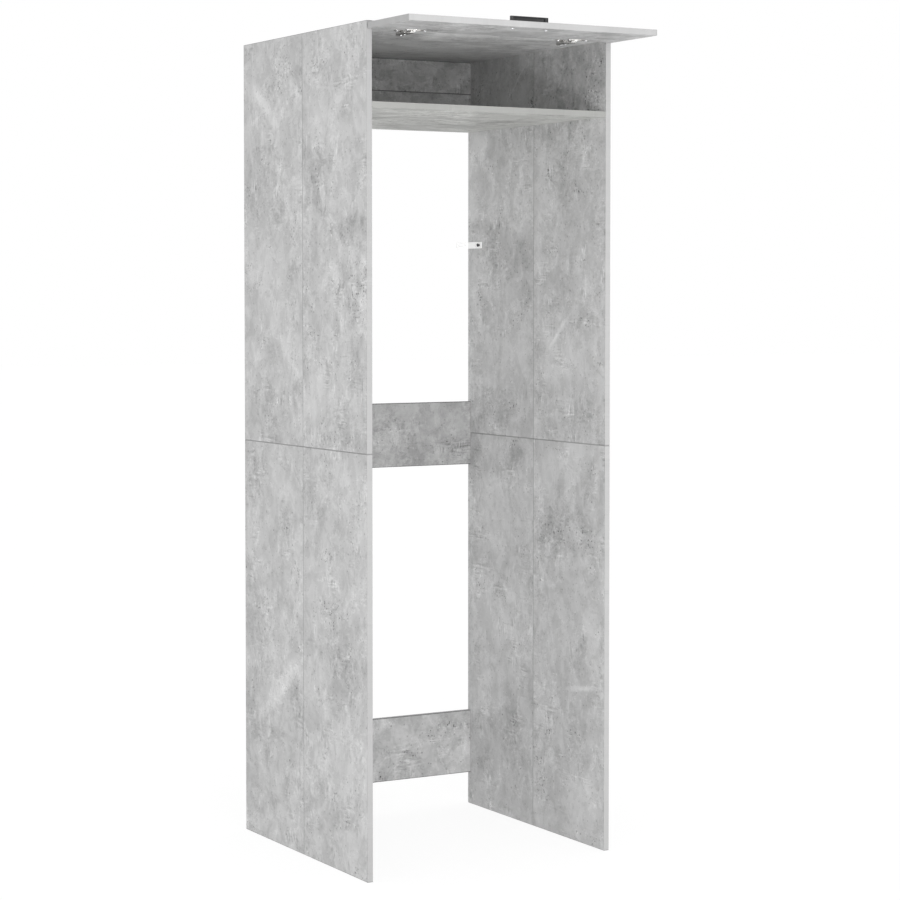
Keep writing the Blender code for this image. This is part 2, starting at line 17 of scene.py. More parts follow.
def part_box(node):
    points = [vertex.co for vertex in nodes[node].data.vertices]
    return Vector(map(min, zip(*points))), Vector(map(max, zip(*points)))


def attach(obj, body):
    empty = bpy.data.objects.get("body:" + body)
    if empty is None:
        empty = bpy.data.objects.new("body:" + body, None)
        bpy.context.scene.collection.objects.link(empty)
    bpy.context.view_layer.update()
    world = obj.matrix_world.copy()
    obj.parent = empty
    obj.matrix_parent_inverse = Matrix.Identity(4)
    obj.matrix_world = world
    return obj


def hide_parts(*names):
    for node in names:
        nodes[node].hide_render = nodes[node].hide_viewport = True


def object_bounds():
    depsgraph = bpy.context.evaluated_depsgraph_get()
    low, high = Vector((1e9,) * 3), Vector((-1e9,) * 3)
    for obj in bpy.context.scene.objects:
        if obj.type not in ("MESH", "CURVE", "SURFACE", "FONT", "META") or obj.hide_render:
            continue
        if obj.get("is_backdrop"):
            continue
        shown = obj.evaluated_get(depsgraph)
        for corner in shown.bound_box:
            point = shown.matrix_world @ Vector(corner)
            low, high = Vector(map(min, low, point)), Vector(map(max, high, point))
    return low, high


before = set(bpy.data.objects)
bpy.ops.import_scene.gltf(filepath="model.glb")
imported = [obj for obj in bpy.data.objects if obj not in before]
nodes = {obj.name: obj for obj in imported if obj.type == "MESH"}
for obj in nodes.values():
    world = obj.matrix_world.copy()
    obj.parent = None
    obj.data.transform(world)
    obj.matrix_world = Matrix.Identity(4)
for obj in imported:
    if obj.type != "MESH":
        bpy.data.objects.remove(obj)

solid_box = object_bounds()
scene = bpy.context.scene
sides = ("left", "right")

# %% [markdown]
# ## Node trees as Python
# A finish is a graph of nodes. One small class wraps the output of a node, and adding or
# multiplying two of them adds a Math node, so the finish reads like the formula that it is. One
# method adds any other node: it takes the node's type, its settings and the values or links of its
# sockets.

# %% Signals and graphs
class Signal:
    """The output of a node. Arithmetic on signals adds Math nodes."""

    def __init__(self, graph, socket):
        self.graph, self.socket = graph, socket

    def math(self, operation, *others):
        inputs = dict(enumerate((self, *others)))
        return self.graph.node("ShaderNodeMath", {"operation": operation}, inputs)

    def __add__(self, other):
        return self.math("ADD", other)

    def __sub__(self, other):
        return self.math("SUBTRACT", other)

    def __rsub__(self, other):
        return self.math("MULTIPLY_ADD", -1, other)

    def __mul__(self, other):
        return self.math("MULTIPLY", other)

    __radd__, __rmul__ = __add__, __mul__

    def least(self, other):
        return self.math("MINIMUM", other)

    def most(self, other):
        return self.math("MAXIMUM", other)

    def size(self):
        return self.math("ABSOLUTE")

    def rise(self, low, high):
        """0 below low, 1 above high and a soft step between. It falls if low is above high."""
        settings = {"interpolation_type": "SMOOTHSTEP"}
        inputs = {"Value": self, "From Min": low, "From Max": high}
        return self.graph.node("ShaderNodeMapRange", settings, inputs)


class Graph:
    """A node tree under construction."""

    def __init__(self, tree):
        self.tree = tree

    def connect(self, socket, value):
        if isinstance(value, Signal):
            self.tree.links.new(value.socket, socket)
        else:
            socket.default_value = value

    def node(self, kind, settings=None, inputs=None, output=0):
        node = self.tree.nodes.new(kind)
        for name, value in (settings or {}).items():
            setattr(node, name, value)
        for name, value in (inputs or {}).items():
            self.connect(node.inputs[name], value)
        return Signal(self, node.outputs[output])

    def vector(self, x, y, z):
        return self.node("ShaderNodeCombineXYZ", None, {"X": x, "Y": y, "Z": z})

    def mix_color(self, factor, first, second):
        inputs = {"Factor": factor, "A": first, "B": second}
        return self.node("ShaderNodeMix", {"data_type": "RGBA"}, inputs, "Result")


class Finish(Graph):
    """A material under construction. Roughness and metal are set on the shader's own sockets."""

    def __init__(self, name, roughness=0.5, metallic=0.0):
        self.material = bpy.data.materials.new(name)
        self.material.use_nodes = True
        super().__init__(self.material.node_tree)
        self.shader = self.tree.nodes["Principled BSDF"]
        self.shader.inputs["Roughness"].default_value = roughness
        self.shader.inputs["Metallic"].default_value = metallic
        self.place = self.node("ShaderNodeTexCoord", output="Object")
        self.x, self.y, self.z = (
            self.node("ShaderNodeSeparateXYZ", None, {0: self.place}, axis) for axis in "XYZ")

    def shade(self, **inputs):
        for name, value in inputs.items():
            self.connect(self.shader.inputs[name.replace("_", " ").title()], value)

    def noise(self, place, detail=2.0, roughness=0.5, distortion=0.0):
        inputs = dict(Vector=place, Scale=1.0, Detail=detail, Roughness=roughness,
                      Distortion=distortion)
        return self.node("ShaderNodeTexNoise", None, inputs)

    def tinted(self, value, tint):
        """A grey value as a colour, with each part scaled by the tint."""
        parts = {name: value * share for name, share in zip(("Red", "Green", "Blue"), tint)}
        return self.node("ShaderNodeCombineColor", None, parts)

    def bump(self, height, distance):
        inputs = {"Height": height, "Distance": distance, "Strength": 1.0}
        return self.node("ShaderNodeBump", None, inputs)


print("classes ready")

# %% [markdown]
# ## Concrete print
# The boards are chipboard with a printed paper pressed on, so the surface is flat and matt. The
# print shows the marks of a trowelled wall: large clouds, upright brush streaks, level smears,
# clusters of pores and a few pale feathers. It is built from noise at the real size of each mark,
# so that it never repeats. Every board is cut from another place of the sheet, which is why the
# marks stop at a seam.

# %% Sheet of print
print_tone = 0.53
# The 'shadow' and 'light' kinds are darker and paler print on the walls, and painted shade and
# painted light where they lie inside the compartment.
print_and_painted_light_tones = {"smudge": -0.115, "shadow": -0.08, "light": 0.075, "feather": 0.17}


def scaled(finish, across, along, layer, across_size, along_size):
    """Sheet coordinates in units of a mark's own size."""
    return finish.vector(across * (1 / across_size), along * (1 / along_size), layer)


def patch(finish, across, along, centre, half_size, turn, ragged):
    """1 inside a patch with a soft and ragged outline, 0 outside. The turn is in degrees."""
    cos, sin = math.cos(math.radians(turn)), math.sin(math.radians(turn))
    off_across, off_along = across - centre[0], along - centre[1]
    u = off_across * (cos / half_size[0]) + off_along * (sin / half_size[0])
    v = off_along * (cos / half_size[1]) - off_across * (sin / half_size[1])
    return (u * u + v * v + ragged).rise(1.5, -0.1)


def sheet_tone(finish, across, along, layer, marks, marked_side):
    """Brightness of the print, 1 on average, its pores and its pale chips, at a place in metres."""
    def noise(across_size, along_size, shift, *shape):
        """Noise of that size about zero. The shape is its detail, roughness and distortion."""
        place = scaled(finish, across, along, layer + shift, across_size, along_size)
        return finish.noise(place, *shape) - 0.5

    def spots(size, shift, reach):
        place = scaled(finish, across, along, layer + shift, size, size)
        cells = {"Vector": place, "Scale": 1.0}
        near = finish.node("ShaderNodeTexVoronoi", None, cells, "Distance")
        lot = finish.node("ShaderNodeTexVoronoi", None, cells, "Color")
        lot = finish.node("ShaderNodeSeparateColor", None, {0: lot}, "Red")
        return near.rise(reach, reach * 0.4), lot

    wander = noise(0.09, 0.05, 53, 2.0) * 0.012
    across, along = across + wander, along + wander
    clouds = noise(0.17, 0.20, 0, 3.0, 0.55, 0.5)
    banks = noise(0.050, 0.055, 7, 5.0, 0.66, 0.8)
    mottle = noise(0.013, 0.009, 11, 4.0, 0.72, 0.6)
    strokes = noise(0.0065, 0.035, 13, 3.0, 0.6)
    strokes_here = noise(0.06, 0.07, 19, 3.0, 0.6).rise(0.04, 0.16)
    smears = noise(0.055, 0.0065, 23, 4.0, 0.7)
    smears_here = noise(0.09, 0.05, 29, 3.0, 0.6).rise(0.03, 0.15)
    grain = noise(0.0026, 0.0022, 31, 2.0, 0.6)
    wash = noise(0.055, 0.085, 61, 5.0, 0.62, 0.9).rise(-0.012, 0.012) - 0.5
    dab = noise(0.024, 0.045, 67, 5.0, 0.64, 0.7).rise(0.055, 0.075)
    busy = noise(0.12, 0.15, 71, 4.0, 0.62, 0.6).rise(-0.05, 0.06)
    ragged = banks * 2.6 + mottle * 2.0
    frayed = mottle * 5 + strokes * 2
    shade, cluster = 0, noise(0.06, 0.05, 37, 4.0, 0.65).rise(0.03, 0.13)
    # Dark and pale placed marks are print, except inside the compartment, where they are painted
    # shade and painted light.
    for kind, *place, half_across, half_along, turn in marks:
        edge = frayed if kind == "feather" else ragged
        inside = patch(finish, across, along, place, (half_across, half_along), turn, edge)
        if kind == "pores":
            cluster = cluster.most(inside * marked_side)
        else:
            shade = shade + inside * print_and_painted_light_tones[kind]
    strewn = banks * 0.30 + mottle * 0.42 + strokes * strokes_here * 1.25 + dab * 0.06
    strewn = strewn + smears * smears_here * 1.1 + grain * 0.24
    tone = shade * marked_side + 1 + clouds * 0.45 + banks * 0.30 + wash * 0.07
    tone = tone + strewn * (busy * 0.80 + 0.40)

    smudge = noise(0.09, 0.06, 41, 5.0, 0.6, 0.6).rise(0.12, 0.24)
    slant = (across + along * 0.7, along - across * 0.7)
    feather = finish.noise(scaled(finish, *slant, layer + 47.0, 0.10, 0.022), 4.0, 0.6, 0.5)
    feather = feather.rise(0.68, 0.80)
    tone = tone - smudge * 0.10 + feather * 0.10

    thin, pit = spots(0.0070, 3.0, 0.44)
    wide, hole = spots(0.016, 5.0, 0.19)
    few = thin * pit.rise(0.90, 0.94) + wide * hole.rise(0.80, 0.9)
    cluster = cluster * (busy * 0.8 + 0.3)
    many = thin * pit.rise(0.45, 0.55) * cluster
    pore = (few * 0.5 + many).least(1)
    chip = thin * pit.rise(0.42, 0.32) * cluster + thin * pit.rise(0.07, 0.04) * 0.6
    return tone, pore, chip


print("print sheet ready")

# %% [markdown]
# ## Marks with a place
# Noise gives the right kind of wall, but a few marks are what the eye remembers of one board: two
# pale sweeps of the trowel, some dark smudges, clusters of pores. They are listed one by one on the
# faces that show most. Inside the compartment a few dark and pale patches are painted shade and
# painted light: painted shade on the front half of its right wall, and painted light deep on that
# wall and on the ceiling. Each has its distance from the front edge, its height (on the ceiling,
# its place from the middle), half its width and height, and its turn.

# %% Marks with a place
outer_left_marks = [
    ("feather", 0.56, 1.93, 0.10, 0.018, 38), ("light", 0.64, 1.98, 0.06, 0.03, 30),
    ("pores", 0.46, 2.03, 0.07, 0.04, 0),
    ("pores", 0.30, 2.01, 0.04, 0.03, 0), ("light", 0.08, 1.91, 0.09, 0.08, 0),
    ("light", 0.30, 1.87, 0.05, 0.07, 0), ("shadow", 0.27, 1.76, 0.05, 0.05, 0),
    ("shadow", 0.55, 1.83, 0.10, 0.012, -3), ("smudge", 0.49, 1.66, 0.04, 0.04, 20),
    ("shadow", 0.10, 1.60, 0.13, 0.05, 5), ("shadow", 0.08, 1.51, 0.07, 0.10, 0),
    ("pores", 0.05, 1.46, 0.05, 0.09, 0), ("light", 0.52, 1.48, 0.09, 0.11, 0),
    ("pores", 0.29, 1.355, 0.07, 0.03, 0), ("light", 0.42, 1.31, 0.08, 0.04, 0),
    ("light", 0.26, 1.23, 0.045, 0.11, 10), ("smudge", 0.12, 1.12, 0.06, 0.07, 0),
    ("light", 0.47, 0.92, 0.07, 0.05, 0), ("pores", 0.05, 0.90, 0.05, 0.04, 0),
    ("light", 0.22, 0.75, 0.09, 0.10, 0), ("pores", 0.20, 0.64, 0.05, 0.05, 0),
    ("shadow", 0.49, 0.64, 0.03, 0.025, 0), ("smudge", 0.16, 0.52, 0.11, 0.035, 0),
    ("shadow", 0.14, 0.44, 0.07, 0.07, 0), ("feather", 0.49, 0.41, 0.15, 0.024, -36),
    ("light", 0.42, 0.47, 0.07, 0.03, -40),
    ("smudge", 0.39, 0.39, 0.035, 0.07, -10), ("shadow", 0.47, 0.29, 0.12, 0.015, 3),
    ("smudge", 0.58, 0.10, 0.08, 0.03, -12),
]
inner_right_marks_and_painted_light = [
    ("smudge", 0.31, 1.88, 0.05, 0.025, 0), ("shadow", 0.20, 1.75, 0.07, 0.13, 0),
    ("shadow", 0.51, 1.58, 0.13, 0.08, 8), ("shadow", 0.54, 1.50, 0.05, 0.07, 0),
    ("pores", 0.40, 1.38, 0.05, 0.04, 0), ("light", 0.20, 1.31, 0.10, 0.11, 0),
    ("feather", 0.23, 1.34, 0.07, 0.008, -40), ("pores", 0.05, 1.29, 0.04, 0.05, 0),
    ("smudge", 0.55, 1.13, 0.08, 0.06, 0), ("smudge", 0.45, 1.00, 0.05, 0.04, 0),
    ("light", 0.20, 1.00, 0.12, 0.05, 0), ("shadow", 0.21, 0.82, 0.14, 0.07, 0),
    ("pores", 0.16, 0.80, 0.15, 0.04, 0), ("light", 0.49, 0.60, 0.12, 0.15, 0),
    ("feather", 0.10, 0.41, 0.10, 0.008, -8), ("smudge", 0.50, 0.26, 0.10, 0.06, 0),
    ("light", 0.08, 0.13, 0.10, 0.06, 0), ("pores", 0.30, 0.12, 0.06, 0.05, 0),
    # Inside the compartment: the 'shadow' patches are painted shade on the front half of its right
    # wall, and the large 'light' patch is painted light deep in it; the feathers and pores are
    # print.
    ("shadow", 0.10, 2.00, 0.16, 0.11, 0), ("shadow", 0.20, 1.99, 0.16, 0.11, 0),
    ("pores", 0.06, 1.98, 0.05, 0.10, 15), ("feather", 0.08, 2.01, 0.07, 0.006, -60),
    ("feather", 0.44, 2.02, 0.07, 0.004, -45), ("pores", 0.37, 1.95, 0.05, 0.03, 0),
    ("light", 0.56, 2.02, 0.13, 0.08, 0), ("shadow", 0.28, 2.03, 0.08, 0.07, 0),
]
# The four large 'light' patches are painted light deep under the top panel; the feathers and the
# smudge are print.
ceiling_painted_light_and_marks = [
    ("light", 0.42, -0.12, 0.16, 0.28, 0), ("light", 0.50, 0.10, 0.16, 0.30, 0),
    ("light", 0.50, -0.05, 0.14, 0.34, 0), ("light", 0.54, 0.05, 0.12, 0.36, 0),
    ("feather", 0.12, -0.10, 0.10, 0.03, 20),
    ("feather", 0.30, 0.12, 0.05, 0.05, 0), ("smudge", 0.10, 0.20, 0.03, 0.12, 10),
]
placed_marks = {"left": outer_left_marks, "right": inner_right_marks_and_painted_light, "top": ceiling_painted_light_and_marks}
print(sum(map(len, placed_marks.values())), "marks")

# %% [markdown]
# ## Boards
# A board is cut from the printed sheet, and its bare edges are then covered with a thin band of the
# same print. Where two boards meet, their edges show as a fine dark line with a painted highlight
# beside it, as if the edge caught the light. The finish reads how far a point is from the edges of
# its own board, so band and line come out at their real width, just under a millimetre. Every board
# takes another layer of the sheet, and so does its far side. The shelf, the top panel, the flap,
# the rails and the back boards come from other sheets, with a coarser or stronger print, and the
# flap is a little darker. The rails and the back boards are darker still, which is painted shade
# deep in the bay and the compartment, and the joint lines of the rails and the upper back board are
# deepened into painted contact shade. The underside of the top panel is paler, which is painted
# light on the compartment's ceiling.

# %% Board finish
axes = "XYZ"
front_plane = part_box("left_upper_front_board")[0].y
band_thickness = 0.0008
joint_width = 0.0009
painted_highlight_width, painted_highlight_lift = 0.0025, 0.05
usual_band, usual_contrast, usual_joint = 0.75, 1.3, 0.42
pore_depth = 0.55
chip_lift = 0.26


def marks_on(marks, low, high, along, coarse):
    """The marks that reach a board, in the coordinates of its sheet."""
    found = []
    for kind, from_front, far, half_across, half_along, turn in marks:
        y, reach = from_front + front_plane, 1.5 * max(half_across, half_along)
        if low.y - reach < y < high.y + reach and low[along] - reach < far < high[along] + reach:
            in_sheet = (length / coarse for length in (y, far, half_across, half_along))
            found.append((kind, *in_sheet, turn))
    return found


def board_finish(node, layer, marks, grain="Z", tone_and_painted_light_share=1.0, band_share=usual_band,
                 contrast=usual_contrast, coarse=1.0, pores=1.0, joint_line_and_painted_contact_shade=usual_joint,
                 far_share=1.0, tint=(1, 1, 1)):
    """The print of one board, with banded edges, a dark joint line and a painted highlight beside
    it. The marks, the contrast and the tone share are for its lower, left or front side, and the
    far share is for the other. The tone share holds painted shade for the rails and back boards and
    painted light for the top panel's underside; a deep joint is painted contact shade."""
    low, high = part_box(node)
    size = high - low
    thin = min(range(3), key=lambda axis: size[axis])
    along = axes.index(grain)
    across = 3 - thin - along
    finish = Finish(node + "_print", 0.6)
    place = (finish.x, finish.y, finish.z)

    centre = (low + high) / 2
    front_side = place[thin].rise(high[thin] - 0.0001, high[thin] - 0.0002)
    sheet_layer = layer + (1 - front_side) * 3.0
    sheet_place = (place[axis] * (1 / coarse) for axis in (across, along))
    board_marks = marks_on(marks, low, high, along, coarse)
    tone, pore, chip = sheet_tone(finish, *sheet_place, sheet_layer, board_marks, front_side)

    joint_start, joint_end = band_thickness * 0.5, band_thickness + joint_width
    edge_rooms, joint_lines = [], []
    for axis in (across, along):
        room = (place[axis] - centre[axis]).size() * -1 + size[axis] / 2
        line = room.rise(joint_start, joint_start + 0.0002)
        edge_rooms.append(room)
        joint_lines.append(line * room.rise(joint_end, joint_end - 0.0003))
    edge_distance = edge_rooms[0].least(edge_rooms[1])
    on_joint = joint_lines[0].most(joint_lines[1])
    on_band = edge_distance.rise(band_thickness * 0.6, band_thickness * 0.4)
    # Painted highlight: a paler strip just inside each joint line, as if the board's edge caught
    # the light.
    painted_edge_highlight = edge_distance.rise(joint_end + painted_highlight_width, joint_end) * (1 - on_band)
    side_contrast = usual_contrast + front_side * (contrast - usual_contrast)
    spots = chip * (chip_lift * pores) - pore * (pore_depth * pores)
    faded = 1 + ((tone - 1) * side_contrast + spots) * (1 - on_band * 0.88)
    # The tone share is painted light on the top panel's underside and painted shade on the rails
    # and back boards.
    side_tone_and_painted_light = front_side * (tone_and_painted_light_share - far_share) + far_share
    base = print_tone * side_tone_and_painted_light * (1 - on_band * (1 - band_share))
    value = base * faded * (1 - on_joint * joint_line_and_painted_contact_shade) * (1 + painted_edge_highlight * painted_highlight_lift)
    finish.shade(base_color=finish.tinted(value, tint))
    finish.shade(roughness=0.62 - (tone - 1) * 0.25 + pore * 0.1)
    finish.shade(normal=finish.bump(tone - pore * 0.5, 0.00003))
    return finish.material


def dress(node, material):
    nodes[node].data.materials.clear()
    nodes[node].data.materials.append(material)


boards = {}
for side, front_band in (("left", 0.71), ("right", 0.79)):
    for level in ("lower", "upper"):
        for place, band in (("front", front_band), ("rear", usual_band)):
            layer = 10 * (len(boards) + 1)
            boards[f"{side}_{level}_{place}_board"] = {"layer": layer, "band_share": band}
boards.update(
    shelf=dict(grain="X", layer=90, band_share=0.60, contrast=2.0, coarse=1.5, pores=0.5,
               tint=(0.995, 1.0, 0.965)),
    # Its underside's tone share of 1.25 is painted light on the compartment's ceiling.
    top_panel=dict(grain="X", layer=100, tone_and_painted_light_share=1.25, contrast=1.8, coarse=1.6, pores=0.3),
    flap=dict(grain="X", layer=110, tone_and_painted_light_share=0.885, band_share=0.905, contrast=2.2, coarse=1.6,
              pores=0.3, far_share=0.88),
    # Back boards and rails: the low tone shares are painted shade deep in the compartment and the
    # bay, and on the upper back board and the rails the deep joint is painted contact shade.
    compartment_back_upper=dict(grain="X", layer=120, tone_and_painted_light_share=0.83, contrast=2.3, coarse=0.9,
                                pores=1.2, joint_line_and_painted_contact_shade=0.95),
    compartment_back_lower=dict(grain="X", layer=130, tone_and_painted_light_share=0.79, contrast=2.3, coarse=0.9),
    middle_rail=dict(layer=140, tone_and_painted_light_share=0.61, contrast=1.7, joint_line_and_painted_contact_shade=0.95),
    lower_rail=dict(layer=150, tone_and_painted_light_share=0.78, contrast=1.6, pores=1.2, joint_line_and_painted_contact_shade=0.95))
for node, choice in boards.items():
    choice["marks"] = placed_marks.get(node.split("_")[0], ())
    dress(node, board_finish(node, **choice))
print(len(boards), "boards finished")

# %% [markdown]
# ## Metal and wood finishes
# The hinges are nickel plated, which is bright and slightly warm. The screws are zinc plated, a
# little bluer and duller, with the spangle that zinc leaves. Both carry fine rubbing marks, which
# show in the roughness more than in the colour. The handle, the bracket screws and the brackets are
# coated, and sprayed powder keeps a faint orange-peel surface.

# %% Metal and wood finishes
def stretched(finish, x_size, y_size, z_size):
    """The place in units of a mark's own size, so that noise comes out drawn along one axis."""
    return finish.vector(finish.x * (1 / x_size), finish.y * (1 / y_size), finish.z * (1 / z_size))


def plated_finish(name, color, roughness, metallic, spangle_size):
    finish = Finish(name, roughness, metallic)
    cloud = finish.noise(stretched(finish, 0.006, 0.006, 0.006), 3.0, 0.6) - 0.5
    rubbed = finish.noise(stretched(finish, 0.0002, 0.004, 0.0002), 2.0, 0.6) - 0.5
    cells = {"Vector": stretched(finish, spangle_size, spangle_size, spangle_size), "Scale": 1.0}
    spangle = finish.node("ShaderNodeTexVoronoi", None, cells, "Color")
    spangle = finish.node("ShaderNodeSeparateColor", None, {0: spangle}, "Red") - 0.5
    dull = tuple(0.86 * part for part in color)
    dulled = (cloud * 0.9 + 0.35 + spangle * 0.3).most(0).least(1)
    shown = finish.mix_color(dulled, (*color, 1), (*dull, 1))
    worn = cloud * 0.12 + rubbed * 0.10 + spangle * 0.05
    finish.shade(base_color=shown, roughness=worn + roughness)
    finish.shade(normal=finish.bump(rubbed * 0.4 + cloud * 0.5, 0.00002))
    return finish.material


def coated_finish(name, color, roughness, peel_size, peel_height):
    finish = Finish(name, roughness)
    peel = finish.noise(stretched(finish, peel_size, peel_size, peel_size), 2.0, 0.5) - 0.5
    cloud = finish.noise(stretched(finish, 0.02, 0.02, 0.02), 3.0, 0.6) - 0.5
    paler = tuple(min(1, part * 1.12 + 0.004) for part in color)
    shown = finish.mix_color((cloud * 1.4 + 0.5).most(0).least(1), (*color, 1), (*paler, 1))
    finish.shade(base_color=shown, roughness=roughness + cloud * 0.10 + peel * 0.06)
    finish.shade(normal=finish.bump(peel, peel_height))
    return finish.material


def dowel_finish():
    """Beech along and across its grain, with the short dark flecks that mark the wood."""
    finish = Finish("beech_dowel", 0.62)
    fibre = finish.noise(stretched(finish, 0.0006, 0.012, 0.0006), 3.0, 0.6) - 0.5
    fleck = finish.noise(stretched(finish, 0.0005, 0.002, 0.0005), 1.0).rise(0.60, 0.68)
    pale, deep, dark = (0.66, 0.46, 0.28, 1), (0.50, 0.32, 0.18, 1), (0.28, 0.16, 0.08, 1)
    shown = finish.mix_color((fibre * 1.5 + 0.5).most(0).least(1), pale, deep)
    shown = finish.mix_color(fleck * 0.6, shown, dark)
    finish.shade(base_color=shown, roughness=0.62 - fibre * 0.2, normal=finish.bump(fibre, 0.00005))
    return finish.material


nickel = plated_finish("nickel_plating", (0.84, 0.83, 0.81), 0.24, 0.95, 0.0012)
zinc = plated_finish("zinc_plating", (0.94, 0.95, 0.97), 0.22, 0.6, 0.0006)
handle_black = coated_finish("handle_black_coat", (0.034, 0.034, 0.036), 0.42, 0.0007, 0.00002)
screw_black = coated_finish("screw_black_coat", (0.024, 0.024, 0.025), 0.38, 0.0005, 0.00001)
bracket_white = coated_finish("bracket_white_coat", (0.93, 0.93, 0.92), 0.36, 0.0006, 0.00002)
beech = dowel_finish()
dowels = [node for node in nodes if "dowel" in node]
for node in dowels:
    dress(node, beech)
print(len(dowels), "dowels finished")

# %% [markdown]
# ## Working shapes
# Most of the hardware is a stack of outlines: a screw is circles of many sizes, a flange is one
# rounded outline that is drawn in a little at top and bottom. One helper skins such a stack and
# closes its ends. Pressed and drilled parts are then cut as in a workshop, with a Boolean for each
# hole or hollow, and a small bevel breaks their edges. The result is read back as a plain mesh with
# its place in it, so the object itself stays at the origin, as the solids do.

# %% Working shapes
def skin(rings):
    """A closed mesh through a stack of rings that have the same number of points each."""
    shape = bmesh.new()
    rows = [[shape.verts.new(point) for point in ring] for ring in rings]
    for row, following in zip(rows, rows[1:]):
        for i in range(len(row)):
            j = (i + 1) % len(row)
            shape.faces.new((row[i], row[j], following[j], following[i]))
    shape.faces.new(rows[0])
    shape.faces.new(rows[-1])
    bmesh.ops.remove_doubles(shape, verts=shape.verts, dist=0.0000005)
    bmesh.ops.recalc_face_normals(shape, faces=shape.faces)
    mesh = bpy.data.meshes.new("shape")
    shape.to_mesh(mesh)
    shape.free()
    return mesh


def circle(radius, height, corners):
    turns = [2 * math.pi * step / corners for step in range(corners)]
    return [(radius * math.cos(turn), radius * math.sin(turn), height) for turn in turns]


def lathe(profile, corners):
    """A turned shape about Z from (radius, height) points."""
    return skin([circle(radius, height, corners) for radius, height in profile])


def rod(radius, start_height, end_height, corners):
    """A plain rod about Z, used as a drill or a post."""
    ends = [(0, start_height), (radius, start_height), (radius, end_height), (0, end_height)]
    return lathe(ends, corners)


def quarter(centre, radius, start, end, steps):
    """Points along part of a circle in a profile, from one angle in degrees to another."""
    turns = [math.radians(start + (end - start) * step / steps) for step in range(steps + 1)]
    return [(centre[0] + radius * math.cos(t), centre[1] + radius * math.sin(t)) for t in turns]


def hull(circles, height, inset, steps):
    """The tightest band round some circles (x, y, radius), drawn in by an inset."""
    points = []
    for step in range(steps):
        turn = 2 * math.pi * step / steps
        across, along = math.cos(turn), math.sin(turn)
        x, y, radius = max(circles, key=lambda c: c[0] * across + c[1] * along + c[2])
        points.append((x + (radius - inset) * across, y + (radius - inset) * along, height))
    return points


def slab(circles, low, high, rounding, steps):
    """A flat plate with that outline and rounded edges above and below."""
    turns = [math.radians(a) for a in (0, 30, 60, 90)]
    eased = [(rounding * (1 - math.sin(t)), rounding * (1 - math.cos(t))) for t in turns]
    stack = [(inset, low + lift) for inset, lift in eased]
    stack += [(inset, high - lift) for inset, lift in reversed(eased)]
    return skin([hull(circles, height, inset, steps) for inset, height in stack])


def brick(low, high):
    """A box between two corners."""
    x0, y0, z0 = low
    x1, y1, z1 = high
    return skin([[(x0, y0, z), (x1, y0, z), (x1, y1, z), (x0, y1, z)] for z in (z0, z1)])


def moved(mesh, *steps):
    """The mesh put in place: each step is a matrix or a place, and the first is done first."""
    for step in steps:
        mesh.transform(step if isinstance(step, Matrix) else Matrix.Translation(step))
    return mesh


along_x = Matrix.Rotation(math.pi / 2, 4, "Y")


def settle(thing):
    """Replace an object's mesh by what its modifiers make of it."""
    graph = bpy.context.evaluated_depsgraph_get()
    mesh = bpy.data.meshes.new_from_object(thing.evaluated_get(graph))
    thing.modifiers.clear()
    thing.data = mesh


def start(data, name="work"):
    """A new object in the scene with that mesh, camera or lamp."""
    thing = bpy.data.objects.new(name, data)
    scene.collection.objects.link(thing)
    return thing


def work(thing, tool, operation="DIFFERENCE"):
    """Cut a tool's mesh from an object, or join it on."""
    other = start(tool)
    change = thing.modifiers.new("change", "BOOLEAN")
    change.operation, change.solver, change.object = operation, "EXACT", other
    settle(thing)
    bpy.data.objects.remove(other)
    return thing


def break_edges(thing, width, steps=2, sharper_than=35):
    bevel = thing.modifiers.new("bevel", "BEVEL")
    bevel.width, bevel.segments = width, steps
    bevel.limit_method, bevel.angle_limit = "ANGLE", math.radians(sharper_than)
    settle(thing)
    return thing


def soft_brick(low, high, rounding, steps):
    """A brick with rounded edges."""
    thing = break_edges(start(brick(low, high)), rounding, steps)
    mesh = thing.data
    bpy.data.objects.remove(thing)
    return mesh


def piece(thing, name, finish, body, replaced):
    """Name a finished object, and put it in the frame in place of solids."""
    thing.name = name
    mesh = thing.data
    mesh.name = name
    mesh.materials.clear()
    mesh.materials.append(finish)
    mesh.shade_smooth()
    mesh.set_sharp_from_angle(angle=math.radians(38))
    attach(thing, body)
    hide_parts(*replaced)
    print(name, len(mesh.polygons), "faces")


def middle(node):
    low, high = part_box(node)
    return (low + high) / 2


print("helpers ready")

# %% [markdown]
# ## Hinge cup
# The cup of a concealed hinge is pressed from one sheet: a round pot, sunk in a 35 mm hole in the
# flap, with a flange that carries two screws. Inside the pot two lugs hold the cross pin. The pot
# is a lathe profile with a soft corner and a rolled lip, the flange is a slab joined to it, and the
# hollow is cut last, less the two lugs, so that they grow from the wall.

# %% Hinge cup
fit_gap = 0.0003
sheet_wall = 0.0008
pot_radius = 0.0172
flange_thickness = 0.0012
flange_rim = 0.0010
ear_radius = 0.0055
lug_gap = 0.0005
lug_reach = 0.0032
tip_width = 0.0070
pin_hole = 0.0013
wood_screw_hole = 0.0019


